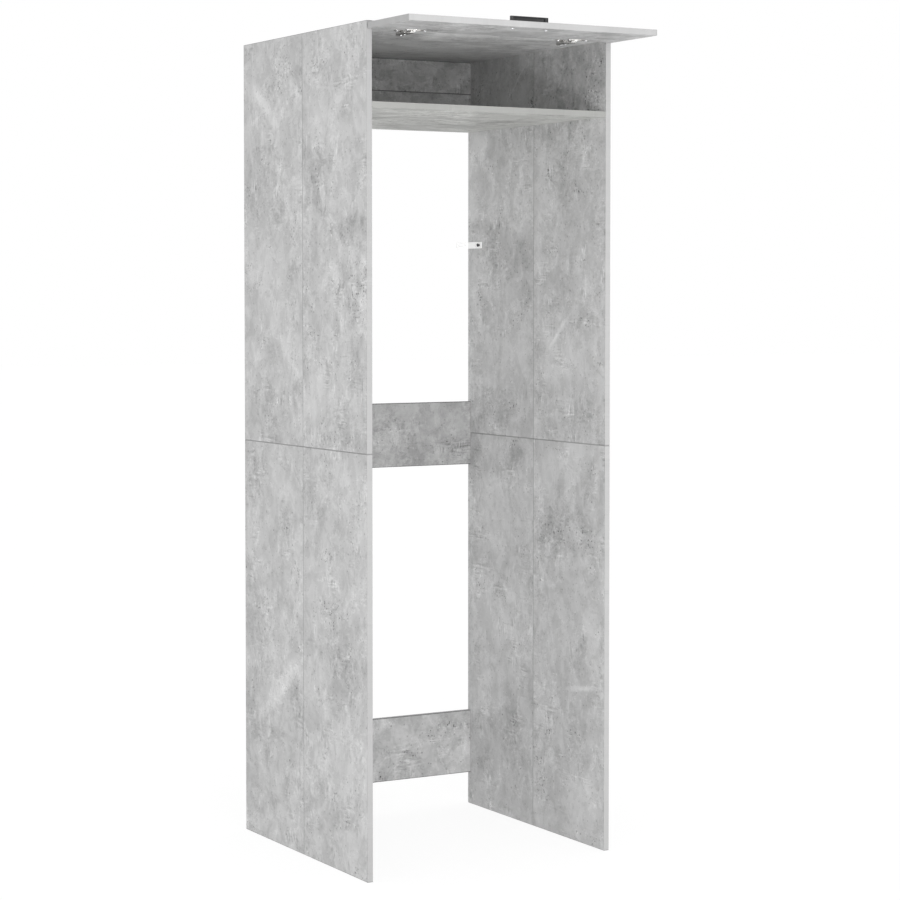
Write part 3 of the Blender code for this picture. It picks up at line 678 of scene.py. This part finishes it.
def make_cup(side):
    cup = side + "_hinge_cup"
    low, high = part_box(cup)
    pivot = middle(side + "_hinge_pin")
    centre = Vector((pivot.x, high.y - pot_radius - flange_rim, low.z))
    depth = high.z - low.z
    ears = [middle(f"{side}_cup_screw_{end}") - centre for end in "ab"]

    corner = 0.0022
    pot = [(0, depth)] + quarter((pot_radius - corner, depth - corner), corner, 90, 0, 6)
    pot += [(pot_radius, flange_thickness / 2), (0, flange_thickness / 2)]
    thing = start(moved(lathe(pot, 72), centre))
    outline = [(0, 0, pot_radius + flange_rim)] + [(ear.x, ear.y, ear_radius) for ear in ears]
    work(thing, moved(slab(outline, 0, flange_thickness, 0.0003, 144), centre), "UNION")

    inner, lip = pot_radius - sheet_wall, 0.0006
    hollow = [(0, depth - sheet_wall)]
    hollow += quarter((inner - corner, depth - sheet_wall - corner), corner, 90, 0, 6)
    hollow += [(inner, lip)] + quarter((inner + lip, lip), lip, 180, 270, 4)[1:]
    hollow += [(inner + lip, -0.002), (0, -0.002)]
    hollow = start(moved(lathe(hollow, 72), centre))
    for sign in (-1, 1):
        near, far = sorted((sign * (tip_width / 2 + lug_gap), sign * (pot_radius + 0.001)))
        lug_low = (pivot.x + near, pivot.y - lug_reach, pivot.z - lug_reach)
        lug_high = (pivot.x + far, pivot.y + 0.03, high.z + 0.001)
        work(hollow, soft_brick(lug_low, lug_high, 0.0014, 4))
    work(thing, hollow.data)
    bpy.data.objects.remove(hollow)

    work(thing, moved(rod(pin_hole, 0.009, -0.009, 24), along_x, pivot))
    for ear in ears:
        drill = rod(wood_screw_hole, -0.003, 0.003, 24)
        work(thing, moved(drill, centre + Vector((ear.x, ear.y, 0))))
    piece(thing, side + "_cup_pressing", nickel, "flap", [cup])


for side in sides:
    make_cup(side)

# %% [markdown]
# ## Cross pin
# The flap turns on this pin, a short wire with a small chamfer at each end. It passes through both
# lugs and the eye of the arm.

# %% Cross pin
def make_pin(side):
    pin = side + "_hinge_pin"
    low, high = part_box(pin)
    radius, half = (high.z - low.z) / 2, (high.x - low.x) / 2
    chamfer = radius * 0.3
    profile = [(0, half), (radius - chamfer, half), (radius, half - chamfer)]
    profile += [(radius, chamfer - half), (radius - chamfer, -half), (0, -half)]
    thing = start(moved(lathe(profile, 28), along_x, middle(pin)))
    piece(thing, side + "_cross_pin", zinc, "flap", [pin])


for side in sides:
    make_pin(side)

# %% [markdown]
# ## Hinge arm
# The arm is one strip of steel. Its narrow tip is rolled into an eye round the pin, its neck drops
# and bends back like a goose's, and behind the cabinet's edge its sides are folded up into a
# channel that fits round the mounting plate. Its side view holds all of this, so that is drawn
# first with fine arcs, given its width, and then the channel, the narrow tip and the holes are cut.

# %% Hinge arm
arm_metal = 0.0016
eye_radius = 0.0021
bend_radius = 0.0040
channel_start = 0.003
channel_taper = 0.007
shoulder_reach = 0.001
plate_thickness = 0.0017
arm_screw_hole = 0.0023


def arm_outline(pivot, web, end_y, cheek_top, front):
    """Side view of the arm in Y and Z: eye, neck, bend, and the cheek of the channel."""
    half = arm_metal / 2
    neck = math.degrees(math.asin(half / eye_radius))
    bend = (pivot.y + bend_radius, web + bend_radius)
    points = quarter((pivot.y, pivot.z), eye_radius, neck - 90, 270 - neck, 28)
    points += quarter(bend, bend_radius + half, 180, 270, 12)
    points += [(end_y, web - half)]
    points += quarter((end_y - 0.0012, cheek_top - 0.0012), 0.0012, 0, 90, 4)
    points += [(front + channel_taper, cheek_top), (front, web + half)]
    return points + quarter(bend, bend_radius - half, 270, 180, 12)


def make_arm(side):
    arm = side + "_hinge_arm"
    low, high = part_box(arm)
    pivot = middle(side + "_hinge_pin")
    web = low.z + arm_metal / 2
    front = front_plane + channel_start
    cheek_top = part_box(side + "_hinge_plate")[1].z - plate_thickness - fit_gap
    outline = arm_outline(pivot, web, high.y, cheek_top, front)
    thing = start(skin([[(x, y, z) for y, z in outline] for x in (low.x, high.x)]))
    inside = brick((low.x + arm_metal, front - 0.002, web + arm_metal / 2 - 0.0001),
                   (high.x - arm_metal, high.y + 0.002, cheek_top + 0.002))
    work(thing, inside)
    for sign in (-1, 1):
        near, far = sorted((sign * tip_width / 2, sign * 0.014))
        trim = brick((pivot.x + near, pivot.y - 0.014, web + bend_radius - arm_metal),
                     (pivot.x + far, front_plane - shoulder_reach, pivot.z + 0.014))
        work(thing, trim)
    work(thing, moved(rod(pin_hole, 0.009, -0.009, 28), along_x, pivot))
    break_edges(thing, 0.00025, 2)
    for end in ("front", "rear"):
        spot = middle(f"{side}_arm_screw_{end}")
        drill = rod(arm_screw_hole, -0.004, 0.004, 28)
        work(thing, moved(drill, (spot.x, spot.y, web)))
    piece(thing, side + "_gooseneck_arm", nickel, "root", [arm])


for side in sides:
    make_arm(side)

# %% [markdown]
# ## Mounting plate
# A plate with two rounded wings is screwed under the top panel, and the block in its middle fills
# the arm's channel. Two small screws clamp the arm to it. The wings are a slab round two circles,
# and the block is a brick with soft edges, joined to them.

# %% Mounting plate
def make_plate(side):
    plate = side + "_hinge_plate"
    low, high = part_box(plate)
    wings = [middle(f"{side}_plate_screw_{end}") for end in "ab"]
    half_wing = wings[0].x - low.x
    plate_low = high.z - plate_thickness
    rounds = [(wing.x, wing.y, half_wing) for wing in wings]
    thing = start(slab(rounds, plate_low, high.z, 0.0004, 96))
    arm_low, arm_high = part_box(side + "_hinge_arm")
    side_room = arm_metal + fit_gap
    block_low = (arm_low.x + side_room, front_plane + channel_start + channel_taper, low.z)
    block_high = (arm_high.x - side_room, arm_high.y - 0.003, high.z - plate_thickness / 2)
    work(thing, soft_brick(block_low, block_high, 0.0005, 3), "UNION")
    for wing in wings:
        drill = rod(wood_screw_hole, -0.004, 0.004, 24)
        work(thing, moved(drill, (wing.x, wing.y, plate_low)))
    for end in ("front", "rear"):
        spot = middle(f"{side}_arm_screw_{end}")
        drill = rod(arm_screw_hole, low.z - 0.002, high.z + 0.002, 24)
        work(thing, moved(drill, (spot.x, spot.y, 0)))
    piece(thing, side + "_mounting_plate", nickel, "root", [plate])


for side in sides:
    make_plate(side)

# %% [markdown]
# ## Handle
# The pull is a shallow shell of black-coated metal, hollow towards the flap's free edge so that
# fingers reach in behind it. Two posts inside take the screws that come through the flap.

# %% Handle
def make_handle():
    low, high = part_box("handle")
    wall, post_radius, screw_hole = 0.002, 0.0038, 0.0022
    thing = start(soft_brick(low, high, 0.0012, 5))
    hollow_low = (low.x + wall, low.y - wall, low.z + wall)
    hollow_high = (high.x - wall, high.y - wall, high.z - wall)
    hollow = start(soft_brick(hollow_low, hollow_high, 0.0008, 3))
    spots = [middle(side + "_handle_screw") for side in sides]
    for spot in spots:
        work(hollow, moved(rod(post_radius, -0.03, 0.03, 40), (spot.x, spot.y, low.z)))
    work(thing, hollow.data)
    bpy.data.objects.remove(hollow)
    for spot in spots:
        work(thing, moved(rod(screw_hole, -0.01, 0.009, 28), (spot.x, spot.y, low.z)))
    break_edges(thing, 0.0003, 2, 50)
    piece(thing, "pull_handle", handle_black, "flap", ["handle"])


make_handle()

# %% [markdown]
# ## Wall brackets
# Each bracket is a strip of 2 mm steel, folded square and coated white. One leg is screwed to the
# side wall, and the other lies flat on the room's wall. The fold is drawn with its arcs, and each
# leg has a long slot, so that the cabinet can be set straight before the screws bite.

# %% Wall brackets
def make_bracket(side):
    bracket = side + "_wall_bracket"
    low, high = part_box(bracket)
    metal, fold = 0.002, 0.0026
    sign = 1 if side == "right" else -1
    face = high.x if side == "right" else low.x
    reach = high.x - low.x

    def spot(inward, forward):
        return (face - sign * inward, high.y - forward)

    outer = quarter((fold, fold), fold, 180, 270, 5)
    inner = quarter((fold, fold), fold - metal, 270, 180, 2)
    points = [spot(0, high.y - low.y)] + [spot(*pair) for pair in outer]
    points += [spot(reach, 0), spot(reach, metal)] + [spot(*pair) for pair in inner]
    points += [spot(metal, high.y - low.y)]
    thing = start(skin([[(x, y, z) for x, y in points] for z in (low.z, high.z)]))

    slot_length, slot_width, slot_inset = 0.022, 0.006, 0.007
    slot_z, half, end = (low.z + high.z) / 2, slot_length / 2, slot_width / 2
    slot_y = low.y + slot_inset + half
    slot_x = face - sign * (reach - slot_inset - half)
    turn_up, turn_side = (Matrix.Rotation(math.pi / 2, 4, axis) for axis in "XZ")
    in_board = (turn_up, turn_side, (face, slot_y, slot_z))
    in_wall_leg = (turn_up, (slot_x, high.y, slot_z))
    rounds = [(half - end, 0, end), (end - half, 0, end)]
    for steps in (in_board, in_wall_leg):
        slot = skin([hull(rounds, z, 0, 48) for z in (-0.003, 0.003)])
        work(thing, moved(slot, *steps))
    break_edges(thing, 0.0004, 3)
    piece(thing, side + "_angle_bracket", bracket_white, "root", [bracket])


for side in sides:
    make_bracket(side)

# %% [markdown]
# ## Screws
# All sixteen screws are one idea: a domed head with a cross recess, a shank and a thread that
# winds round it. The thread is a rule, so it is written as one: the radius of every point depends
# on its height and its angle together, and the ridge climbs one pitch in a turn. Each kind takes
# its head, shank and length from the solid that it stands for.

# %% One screw
screw_sides = 36
rows_per_turn = 6
thread_depth = 0.26
wood_head, arm_head, handle_head, bracket_head = 0.0018, 0.0014, 0.0024, 0.0022


def cross(reach, half_width, height):
    """The outline of a cross recess at one height."""
    arm, side = reach, half_width
    corners = [(arm, -side), (arm, side), (side, side), (side, arm), (-side, arm), (-side, side)]
    corners += [(-x, -y) for x, y in corners]
    return [(x, y, height) for x, y in corners]


def make_screw(name, head, head_height, shank, length, pitch, point):
    """A screw about Z with the underside of its head at zero and its head up."""
    dome = [(head * math.sin(t), head_height * (0.1 + 0.9 * math.cos(t)))
            for t in (math.radians(a) for a in (0, 12, 24, 36, 48, 60, 72, 82, 90))]
    dome += [(head * 0.97, 0), (shank, 0)]
    rings = [circle(radius, height, screw_sides) for radius, height in dome]
    plain = shank * 0.5
    count = int((length - plain) / pitch * rows_per_turn)
    for row in range(count + 1):
        depth = plain + (length - plain) * row / count
        to_point = min(1, (length - depth) / point)
        ring = []
        for step in range(screw_sides):
            turn = step / screw_sides
            wave = abs(2 * ((depth / pitch + turn) % 1) - 1)
            radius = max(0, shank * to_point * (1 - thread_depth * wave * min(1, row / 4)))
            angle = 2 * math.pi * turn
            ring.append((radius * math.cos(angle), radius * math.sin(angle), -depth))
        rings.append(ring)
    thing = start(skin(rings), name)
    recess = ((0.60, 0.15, 1.2), (0.52, 0.13, 0.62), (0.16, 0.06, 0.22))
    return work(thing, skin([cross(head * a, head * b, head_height * c) for a, b, c in recess]))


wood_screw = make_screw("wood_screw", 0.0036, wood_head, 0.0016, 0.0102, 0.0013, 0.0030)
arm_screw = make_screw("arm_screw", 0.0032, arm_head, 0.0020, 0.0060, 0.0007, 0.0006)
handle_screw = make_screw("handle_screw", 0.0040, handle_head, 0.0019, 0.0230, 0.0008, 0.0008)
bracket_screw = make_screw("bracket_screw", 0.0048, bracket_head, 0.0020, 0.0130, 0.0015, 0.0035)
screw_kinds = [wood_screw, arm_screw, handle_screw, bracket_screw]
print({kind.name: len(kind.data.polygons) for kind in screw_kinds})

# %% [markdown]
# ## Screws in their places
# The screws follow one rule: the same screw or pair is set left and right, so a few spacings say
# where they all are. That is a job for Geometry Nodes: a line of one or two points is the pair, a
# second line sets it left and right, and a screw is instanced on each point. Nobody lines up the
# recesses of screws, so each is turned by a random angle with a fixed seed. The tree realizes the
# instances at its end, so that it gives back one plain mesh.

# %% Tree that sets screws
def screw_tree():
    tree = bpy.data.node_groups.new("set_screws", "GeometryNodeTree")
    face = tree.interface
    inputs = {
        "Middle": "Vector", "Wide Spacing": "Vector", "Pair Spacing": "Vector", "Pair Count": "Int",
        "Facing": "Vector", "Toward Middle": "Float", "Seed": "Int",
        "Screw": "Object", "Finish": "Material",
    }
    names = {}
    for name, kind in inputs.items():
        socket = face.new_socket(name=name, in_out="INPUT", socket_type="NodeSocket" + kind)
        names[name] = socket.identifier
    face.new_socket(name="Screws", in_out="OUTPUT", socket_type="NodeSocketGeometry")
    graph = Graph(tree)
    source = tree.nodes.new("NodeGroupInput")
    given = {name: Signal(graph, source.outputs[name]) for name in inputs}

    def half_back(vector, centre):
        back = {0: vector, 1: (-0.5, -0.5, -0.5), 2: centre}
        return graph.node("ShaderNodeVectorMath", {"operation": "MULTIPLY_ADD"}, back)

    wide_start = half_back(given["Wide Spacing"], given["Middle"])
    wide = {"Count": 2, "Start Location": wide_start, "Offset": given["Wide Spacing"]}
    wide = graph.node("GeometryNodeMeshLine", {"mode": "OFFSET"}, wide)
    room = {0: given["Pair Spacing"], "Scale": given["Pair Count"] - 1}
    room = graph.node("ShaderNodeVectorMath", {"operation": "SCALE"}, room)
    pair_start = half_back(room, (0, 0, 0))
    pair = {"Count": given["Pair Count"], "Start Location": pair_start}
    pair["Offset"] = given["Pair Spacing"]
    pair = graph.node("GeometryNodeMeshLine", {"mode": "OFFSET"}, pair)
    spots = graph.node("GeometryNodeInstanceOnPoints", None, {"Points": wide, "Instance": pair})
    spots = graph.node("GeometryNodeRealizeInstances", None, {"Geometry": spots})

    place = graph.node("GeometryNodeInputPosition")
    side = graph.node("ShaderNodeSeparateXYZ", None, {0: place}, "X").math("SIGN")
    inward = graph.vector(side * given["Toward Middle"] * -1, 0.0, 0.0)
    facing = {0: given["Facing"], 1: inward}
    facing = graph.node("ShaderNodeVectorMath", {"operation": "ADD"}, facing)
    upright = graph.node("FunctionNodeAlignRotationToVector", {"axis": "Z"}, {"Vector": facing})
    least_and_most = {2: 0.0, 3: 2 * math.pi, "Seed": given["Seed"]}
    turn = graph.node("FunctionNodeRandomValue", {"data_type": "FLOAT"}, least_and_most, 1)
    turn = graph.node("FunctionNodeEulerToRotation", None, {0: graph.vector(0.0, 0.0, turn)})
    turned = {"Rotation": upright, "Rotate By": turn}
    turned = graph.node("FunctionNodeRotateRotation", {"rotation_space": "LOCAL"}, turned)

    screw = graph.node("GeometryNodeObjectInfo", None, {"Object": given["Screw"]}, "Geometry")
    screws = {"Points": spots, "Instance": screw, "Rotation": turned}
    screws = graph.node("GeometryNodeInstanceOnPoints", None, screws)
    screws = graph.node("GeometryNodeRealizeInstances", None, {"Geometry": screws})
    dressed = {"Geometry": screws, "Material": given["Finish"]}
    screws = graph.node("GeometryNodeSetMaterial", None, dressed)
    target = tree.nodes.new("NodeGroupOutput")
    graph.connect(target.inputs["Screws"], screws)
    return tree, names


set_screws, screw_inputs = screw_tree()
print(list(screw_inputs))

# %% [markdown]
# Now the same tree serves five times. Each call reads the places of its screws from the solids and
# turns them into a middle and two spacings, so no place is typed twice. Only the bracket screws
# face the middle of the cabinet, one from each side.

# %% Screws in their places
def set_screws_of(name, ends, kind, finish, body, head_height, seed, toward_middle=0.0):
    """Set one kind of screw in the places of its solids, and replace them."""
    solids = [f"{side}_{name}{end}" for side in sides for end in ends]
    spots = [middle(solid) for solid in solids]
    spots.sort(key=lambda spot: (round(spot.x, 4), spot.y))
    count = len(spots) // 2
    centre = sum(spots, Vector()) / len(spots)
    wide = sum(spots[count:], Vector()) / count - sum(spots[:count], Vector()) / count
    pair = spots[1] - spots[0] if count == 2 else Vector()
    if toward_middle:
        inner = min(abs(corner.x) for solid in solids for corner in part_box(solid))
        wide = Vector((2 * (inner + head_height), 0, 0))
    else:
        centre.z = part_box(solids[0])[0].z + head_height
    values = {"Middle": centre, "Wide Spacing": wide, "Pair Spacing": pair, "Pair Count": count,
              "Facing": (0, 0, toward_middle - 1), "Toward Middle": toward_middle, "Seed": seed,
              "Screw": kind, "Finish": finish}
    thing = start(bpy.data.meshes.new(name))
    modifier = thing.modifiers.new("set", "NODES")
    modifier.node_group = set_screws
    for title, value in values.items():
        modifier[screw_inputs[title]] = value
    settle(thing)
    piece(thing, name + "s", finish, body, solids)


two, fore_and_aft, one = ("_a", "_b"), ("_front", "_rear"), ("",)
set_screws_of("cup_screw", two, wood_screw, zinc, "flap", wood_head, 3)
set_screws_of("plate_screw", two, wood_screw, zinc, "root", wood_head, 5)
set_screws_of("arm_screw", fore_and_aft, arm_screw, zinc, "root", arm_head, 7)
set_screws_of("handle_screw", one, handle_screw, zinc, "flap", handle_head, 9)
set_screws_of("bracket_screw", one, bracket_screw, screw_black, "root",
              bracket_head, 11, 1.0)
for kind in screw_kinds:
    bpy.data.objects.remove(kind)

# %% [markdown]
# ## Camera
# The cabinet is seen from the left front, some six metres off and at chest height. That shows the
# left wall from outside, the right one from inside, and the open flap with its hinges from below.
# A long lens keeps the upright edges nearly parallel. The camera looks down a little and its
# picture is shifted a little: either one alone would bend the uprights or push the cabinet out of
# the picture in views from other sides.

# %% Camera
image_side = 900
lens_pixels = 2443.5
camera_place = Vector((-3.1450, -5.5074, 1.4481))
camera_turn = math.radians(29.882)
camera_tilt = math.radians(-2.405)
picture_shift = -0.06
camera = start(bpy.data.cameras.new("camera"), "camera")
camera.location = camera_place
camera.rotation_euler = (math.pi / 2 + camera_tilt, 0, -camera_turn)
camera.data.sensor_width = 36
camera.data.lens = lens_pixels * camera.data.sensor_width / image_side
camera.data.shift_y = picture_shift
bpy.context.scene.camera = camera
print("camera at", tuple(round(part, 2) for part in camera_place))

# %% [markdown]
# ## Floor, backdrop and light
# The cabinet stands on a pale floor in a white studio. Two soft boxes light it: a large one in
# front, and a low wide one that throws light up under the flap and into the compartment. The rest
# is even light from all round. The camera sees pure white behind the cabinet, while the light that
# falls on the boards stays weaker, and a Light Path node tells the two apart. The floor mixes both:
# a share of it is truly lit, so the soft shadow stays, and its glow is worked out so that the
# unshaded floor comes out white.

# %% Floor, backdrop and light
def seen_directly(graph):
    """1 where the camera looks, also by a mirror or through glass, and 0 for other light."""
    path = graph.tree.nodes.new("ShaderNodeLightPath")
    kinds = ("Is Camera Ray", "Is Glossy Ray", "Is Transmission Ray")
    camera, glossy, through = (Signal(graph, path.outputs[kind]) for kind in kinds)
    return camera.most(glossy).most(through)


floor_mesh = bpy.data.meshes.new("floor")
shape = bmesh.new()
bmesh.ops.create_grid(shape, x_segments=1, y_segments=1, size=40)
shape.to_mesh(floor_mesh)
shape.free()
floor = start(floor_mesh, "floor")
floor.location.z = -0.0005
floor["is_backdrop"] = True

floor_finish = Finish("floor_finish", 0.9)
ambient = 0.86
floor_tone = 0.8
shadow_share = 0.2
floor_glow = (1 - shadow_share * floor_tone * ambient) / (1 - shadow_share)
floor_finish.shade(base_color=(floor_tone, floor_tone, floor_tone, 1))
lit = Signal(floor_finish, floor_finish.shader.outputs[0])
glow = floor_finish.node("ShaderNodeEmission", None, {"Strength": floor_glow})
mixed = {0: seen_directly(floor_finish) * (1 - shadow_share), 1: lit, 2: glow}
mixed = floor_finish.node("ShaderNodeMixShader", None, mixed)
floor_finish.connect(floor_finish.tree.nodes["Material Output"].inputs["Surface"], mixed)
floor_mesh.materials.append(floor_finish.material)

world = bpy.data.worlds.new("studio")
scene.world = world
world.use_nodes = True
sky = Graph(world.node_tree)
background = world.node_tree.nodes["Background"]
background.inputs["Color"].default_value = (1, 1, 1, 1)
sky.connect(background.inputs["Strength"], ambient + seen_directly(sky) * (1 - ambient))


def area_lamp(name, power, place, aim, width, height):
    """A soft box that points at a place. It lights the cabinet but isn't seen itself."""
    lamp = bpy.data.lights.new(name, "AREA")
    lamp.shape, lamp.size, lamp.size_y, lamp.energy = "RECTANGLE", width, height, power
    thing = start(lamp, name)
    thing.location = place
    thing.rotation_euler = (Vector(aim) - Vector(place)).to_track_quat("-Z", "Y").to_euler()
    thing.visible_camera = False


area_lamp("front_softbox", 53, (-1.0, -3.4, 1.5), (0, 0, 1.5), 2.5, 2.5)
area_lamp("low_softbox", 64, (-1.5, -4.5, 0.3), (0, 0, 1.9), 3.0, 0.5)
scene.view_settings.view_transform = "Standard"
print("floor glow", round(floor_glow, 3))

# %% [markdown]
# ## Sizes
# The last step prints the box of the solids and the box of the finished model. The pieces stand
# each on its body and in the place of its solids.

# %% Write the sizes and finish
boxes = {"cad": solid_box, "visual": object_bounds()}
for name, box in boxes.items():
    print(name, [tuple(round(part, 4) for part in corner) for corner in box])
